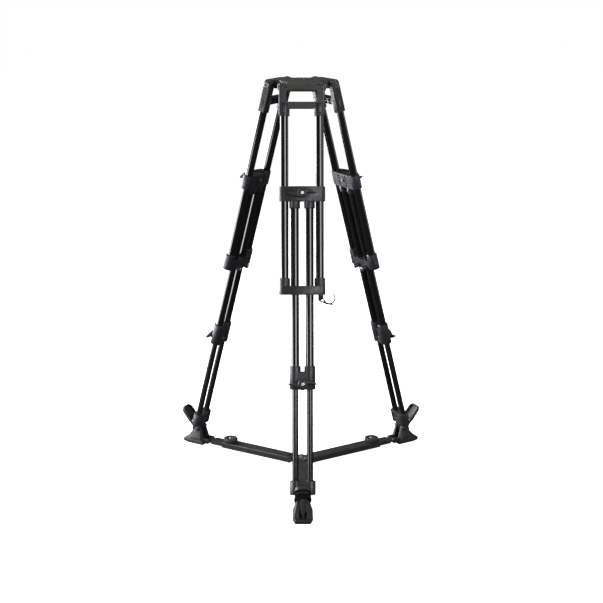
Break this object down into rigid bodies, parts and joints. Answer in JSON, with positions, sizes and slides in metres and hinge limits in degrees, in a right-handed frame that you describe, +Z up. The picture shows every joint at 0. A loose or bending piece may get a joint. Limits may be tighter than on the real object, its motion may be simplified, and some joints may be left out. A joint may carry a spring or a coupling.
{
  "type": "tripod",
  "caption": "Two-stage twin-tube video tripod with a flat-topped crown, wing-lever leg clamps and a telescopic ground spreader with clamping foot cups.",
  "frame": {"origin": "on the tripod's vertical axis, at the ground plane that the three foot cups stand on", "axes": "+Z up; -Y along leg 1; legs 2 and 3 at 150 and 30 degrees from +X"},
  "size_m": [0.8352, 0.7264, 1.2791],
  "materials": {
    "crown_paint": "satin black paint with a warm grey-brown cast on the flat top",
    "casting_paint": "semi-matt black painted die casting",
    "tube_anodised": "glossy black anodised drawn tube",
    "lower_tube_anodised": "satin dark grey anodised drawn tube",
    "lever_plastic": "matt black moulded nylon",
    "spreader_paint": "satin charcoal painted extrusion",
    "cup_plastic": "matt black glass-filled nylon",
    "foot_rubber": "matt black rubber",
    "clip_plastic": "black nylon",
    "bright_steel": "bright zinc plated steel",
    "dark_steel": "black oxide steel"
  },
  "bodies": {
    "crown": {"crown_casting": "crown_paint", "pivot_hardware": "bright_steel"},
    "hub": {"hub_body": "spreader_paint", "hub_screws": "bright_steel", "hub_pins": "dark_steel"},
    "leg_1": {"yoke_1": "casting_paint", "outer_tubes_1": "tube_anodised", "lower_bracket_1": "casting_paint", "bracket_bolts_1": "bright_steel", "cable_clip": "clip_plastic"},
    "leg_1_middle": {"upper_lock_housing_1": "casting_paint", "lock_bolts_1": "bright_steel", "middle_tubes_1": "tube_anodised", "lower_lock_housing_1": "casting_paint"},
    "leg_1_lower": {"lower_tubes_1": "lower_tube_anodised", "foot_block_1": "casting_paint", "spike_foot_1": "foot_rubber"},
    "upper_lever_1": {"upper_lever_1": "lever_plastic"},
    "lower_lever_1": {"lower_lever_1": "lever_plastic"},
    "arm_1": {"spreader_sleeve_1": "spreader_paint"},
    "arm_1_bar": {"spreader_bar_1": "spreader_paint"},
    "cup_1": {"foot_cup_1": "cup_plastic"},
    "clamp_handle_1": {"clamp_handle_1": "cup_plastic"},
    "spreader_knob_1": {"spreader_knob_1": "lever_plastic"},
    "leg_2": {"yoke_2": "casting_paint", "outer_tubes_2": "tube_anodised", "lower_bracket_2": "casting_paint", "bracket_bolts_2": "bright_steel"},
    "leg_2_middle": {"upper_lock_housing_2": "casting_paint", "lock_bolts_2": "bright_steel", "middle_tubes_2": "tube_anodised", "lower_lock_housing_2": "casting_paint"},
    "leg_2_lower": {"lower_tubes_2": "lower_tube_anodised", "foot_block_2": "casting_paint", "spike_foot_2": "foot_rubber"},
    "upper_lever_2": {"upper_lever_2": "lever_plastic"},
    "lower_lever_2": {"lower_lever_2": "lever_plastic"},
    "arm_2": {"spreader_sleeve_2": "spreader_paint"},
    "arm_2_bar": {"spreader_bar_2": "spreader_paint"},
    "cup_2": {"foot_cup_2": "cup_plastic"},
    "clamp_handle_2": {"clamp_handle_2": "cup_plastic"},
    "spreader_knob_2": {"spreader_knob_2": "lever_plastic"},
    "leg_3": {"yoke_3": "casting_paint", "outer_tubes_3": "tube_anodised", "lower_bracket_3": "casting_paint", "bracket_bolts_3": "bright_steel"},
    "leg_3_middle": {"upper_lock_housing_3": "casting_paint", "lock_bolts_3": "bright_steel", "middle_tubes_3": "tube_anodised", "lower_lock_housing_3": "casting_paint"},
    "leg_3_lower": {"lower_tubes_3": "lower_tube_anodised", "foot_block_3": "casting_paint", "spike_foot_3": "foot_rubber"},
    "upper_lever_3": {"upper_lever_3": "lever_plastic"},
    "lower_lever_3": {"lower_lever_3": "lever_plastic"},
    "arm_3": {"spreader_sleeve_3": "spreader_paint"},
    "arm_3_bar": {"spreader_bar_3": "spreader_paint"},
    "cup_3": {"foot_cup_3": "cup_plastic"},
    "clamp_handle_3": {"clamp_handle_3": "cup_plastic"},
    "spreader_knob_3": {"spreader_knob_3": "lever_plastic"}
  },
  "joints": [
    {"name": "spreader_height", "type": "slide", "parent": "crown", "child": "hub", "axis": [0, 0, -1], "range_m": [-0.1738, 0.1931]},
    {"name": "leg_1_swing", "type": "hinge", "parent": "crown", "child": "leg_1", "pos_m": [0, -0.083, 1.264], "axis": [1, 0, 0], "range_deg": [0, 14]},
    {"name": "leg_1_extension", "type": "slide", "parent": "leg_1", "child": "leg_1_middle", "axis": [0, -0.2622, -0.965], "range_m": [-0.18, 0.2]},
    {"name": "leg_1_lower_retract", "type": "slide", "parent": "leg_1_middle", "child": "leg_1_lower", "axis": [0, 0.2622, 0.965], "range_m": [0, 0.26]},
    {"name": "upper_lever_1_turn", "type": "hinge", "parent": "leg_1_middle", "child": "upper_lever_1", "pos_m": [0, -0.2055, 0.96568], "axis": [0, -0.965, 0.2622], "range_deg": [0, 90]},
    {"name": "lower_lever_1_turn", "type": "hinge", "parent": "leg_1_middle", "child": "lower_lever_1", "pos_m": [0, -0.34687, 0.40721], "axis": [0, -0.965, 0.2622], "range_deg": [0, 90]},
    {"name": "arm_1_lift", "type": "hinge", "parent": "hub", "child": "arm_1", "pos_m": [0, -0.038, 0.013], "axis": [-1, 0, 0], "range_deg": [0, 8]},
    {"name": "arm_1_reach", "type": "slide", "parent": "arm_1", "child": "arm_1_bar", "axis": [0, -1, 0], "range_m": [-0.0473, 0.0525]},
    {"name": "cup_1_level", "type": "hinge", "parent": "arm_1_bar", "child": "cup_1", "pos_m": [0, -0.368, 0.013], "axis": [-1, 0, 0], "range_deg": [-8, 0]},
    {"name": "clamp_handle_1_release", "type": "hinge", "parent": "cup_1", "child": "clamp_handle_1", "pos_m": [0, -0.404, 0.054], "axis": [1, 0, 0], "range_deg": [0, 45]},
    {"name": "spreader_knob_1_turn", "type": "hinge", "parent": "arm_1", "child": "spreader_knob_1", "pos_m": [0, -0.282, 0.03], "axis": [0, 0, 1], "continuous": true},
    {"name": "leg_2_swing", "type": "hinge", "parent": "crown", "child": "leg_2", "pos_m": [-0.07188, 0.0415, 1.264], "axis": [-0.5, -0.866, 0], "range_deg": [0, 14]},
    {"name": "leg_2_extension", "type": "slide", "parent": "leg_2", "child": "leg_2_middle", "axis": [-0.2271, 0.1311, -0.965], "range_m": [-0.18, 0.2]},
    {"name": "leg_2_lower_retract", "type": "slide", "parent": "leg_2_middle", "child": "leg_2_lower", "axis": [0.2271, -0.1311, 0.965], "range_m": [0, 0.26]},
    {"name": "upper_lever_2_turn", "type": "hinge", "parent": "leg_2_middle", "child": "upper_lever_2", "pos_m": [-0.17797, 0.10275, 0.96568], "axis": [-0.8357, 0.4825, 0.2622], "range_deg": [0, 90]},
    {"name": "lower_lever_2_turn", "type": "hinge", "parent": "leg_2_middle", "child": "lower_lever_2", "pos_m": [-0.3004, 0.17344, 0.40721], "axis": [-0.8357, 0.4825, 0.2622], "range_deg": [0, 90]},
    {"name": "arm_2_lift", "type": "hinge", "parent": "hub", "child": "arm_2", "pos_m": [-0.03291, 0.019, 0.013], "axis": [0.5, 0.866, 0], "range_deg": [0, 8]},
    {"name": "arm_2_reach", "type": "slide", "parent": "arm_2", "child": "arm_2_bar", "axis": [-0.866, 0.5, 0], "range_m": [-0.0473, 0.0525]},
    {"name": "cup_2_level", "type": "hinge", "parent": "arm_2_bar", "child": "cup_2", "pos_m": [-0.3187, 0.184, 0.013], "axis": [0.5, 0.866, 0], "range_deg": [-8, 0]},
    {"name": "clamp_handle_2_release", "type": "hinge", "parent": "cup_2", "child": "clamp_handle_2", "pos_m": [-0.34987, 0.202, 0.054], "axis": [-0.5, -0.866, 0], "range_deg": [0, 45]},
    {"name": "spreader_knob_2_turn", "type": "hinge", "parent": "arm_2", "child": "spreader_knob_2", "pos_m": [-0.24422, 0.141, 0.03], "axis": [0, 0, 1], "continuous": true},
    {"name": "leg_3_swing", "type": "hinge", "parent": "crown", "child": "leg_3", "pos_m": [0.07188, 0.0415, 1.264], "axis": [-0.5, 0.866, 0], "range_deg": [0, 14]},
    {"name": "leg_3_extension", "type": "slide", "parent": "leg_3", "child": "leg_3_middle", "axis": [0.2271, 0.1311, -0.965], "range_m": [-0.18, 0.2]},
    {"name": "leg_3_lower_retract", "type": "slide", "parent": "leg_3_middle", "child": "leg_3_lower", "axis": [-0.2271, -0.1311, 0.965], "range_m": [0, 0.26]},
    {"name": "upper_lever_3_turn", "type": "hinge", "parent": "leg_3_middle", "child": "upper_lever_3", "pos_m": [0.17797, 0.10275, 0.96568], "axis": [0.8357, 0.4825, 0.2622], "range_deg": [0, 90]},
    {"name": "lower_lever_3_turn", "type": "hinge", "parent": "leg_3_middle", "child": "lower_lever_3", "pos_m": [0.3004, 0.17344, 0.40721], "axis": [0.8357, 0.4825, 0.2622], "range_deg": [0, 90]},
    {"name": "arm_3_lift", "type": "hinge", "parent": "hub", "child": "arm_3", "pos_m": [0.03291, 0.019, 0.013], "axis": [0.5, -0.866, 0], "range_deg": [0, 8]},
    {"name": "arm_3_reach", "type": "slide", "parent": "arm_3", "child": "arm_3_bar", "axis": [0.866, 0.5, 0], "range_m": [-0.0473, 0.0525]},
    {"name": "cup_3_level", "type": "hinge", "parent": "arm_3_bar", "child": "cup_3", "pos_m": [0.3187, 0.184, 0.013], "axis": [0.5, -0.866, 0], "range_deg": [-8, 0]},
    {"name": "clamp_handle_3_release", "type": "hinge", "parent": "cup_3", "child": "clamp_handle_3", "pos_m": [0.34987, 0.202, 0.054], "axis": [-0.5, 0.866, 0], "range_deg": [0, 45]},
    {"name": "spreader_knob_3_turn", "type": "hinge", "parent": "arm_3", "child": "spreader_knob_3", "pos_m": [0.24422, 0.141, 0.03], "axis": [0, 0, 1], "continuous": true}
  ],
  "couplings": [
    {"joint": "leg_1_lower_retract", "follows": "leg_1_swing", "m_per_rad": 1.064},
    {"joint": "arm_1_lift", "follows": "leg_1_swing", "ratio": 0.57142},
    {"joint": "cup_1_level", "follows": "leg_1_swing", "ratio": -0.57142},
    {"joint": "arm_1_reach", "follows": "leg_1_extension", "ratio": 0.26219},
    {"joint": "leg_2_swing", "follows": "leg_1_swing", "ratio": 1},
    {"joint": "leg_2_extension", "follows": "leg_1_extension", "ratio": 1},
    {"joint": "leg_2_lower_retract", "follows": "leg_1_swing", "m_per_rad": 1.064},
    {"joint": "arm_2_lift", "follows": "leg_1_swing", "ratio": 0.57142},
    {"joint": "cup_2_level", "follows": "leg_1_swing", "ratio": -0.57142},
    {"joint": "arm_2_reach", "follows": "leg_1_extension", "ratio": 0.26219},
    {"joint": "leg_3_swing", "follows": "leg_1_swing", "ratio": 1},
    {"joint": "leg_3_extension", "follows": "leg_1_extension", "ratio": 1},
    {"joint": "leg_3_lower_retract", "follows": "leg_1_swing", "m_per_rad": 1.064},
    {"joint": "arm_3_lift", "follows": "leg_1_swing", "ratio": 0.57142},
    {"joint": "cup_3_level", "follows": "leg_1_swing", "ratio": -0.57142},
    {"joint": "arm_3_reach", "follows": "leg_1_extension", "ratio": 0.26219},
    {"joint": "spreader_height", "follows": "leg_1_extension", "ratio": 0.96502}
  ]
}
